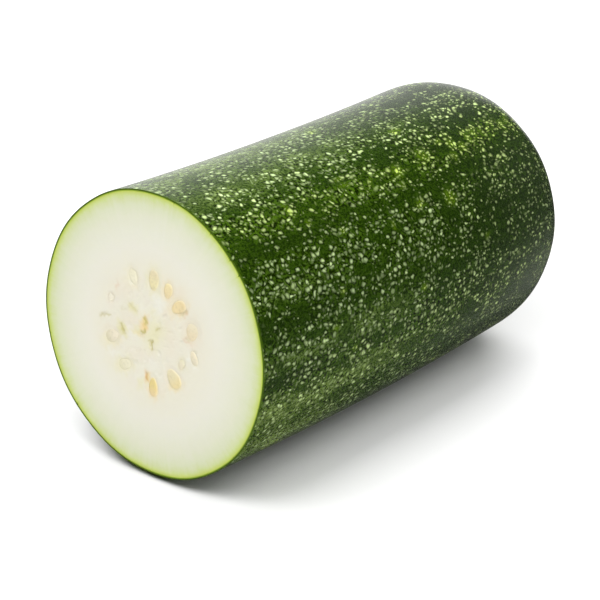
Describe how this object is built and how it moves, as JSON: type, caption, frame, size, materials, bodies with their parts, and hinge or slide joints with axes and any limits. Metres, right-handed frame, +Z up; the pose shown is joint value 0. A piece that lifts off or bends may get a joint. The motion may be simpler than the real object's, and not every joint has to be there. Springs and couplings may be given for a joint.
{
  "type": "winter melon",
  "caption": "Cut piece of winter melon lying on its side: flecked dark green skin, one end sliced flat to show white flesh and seeds, the other end rounded and whole.",
  "frame": {"origin": "on the resting surface, under the middle of the piece's bounding box", "axes": "+Z up; +Y along the fruit's length, from the cut face to the whole blossom end; +X to the right of someone facing the cut face"},
  "size_m": [0.154, 0.2942, 0.1557],
  "materials": {
    "melon": "satin",
    "seed": "satin"
  },
  "bodies": {
    "root": {"winter_melon": "melon", "seed_01": "seed", "seed_02": "seed", "seed_03": "seed", "seed_04": "seed", "seed_05": "seed", "seed_06": "seed", "seed_07": "seed", "seed_08": "seed", "seed_09": "seed", "seed_10": "seed", "seed_11": "seed", "seed_12": "seed"}
  },
  "joints": []
}
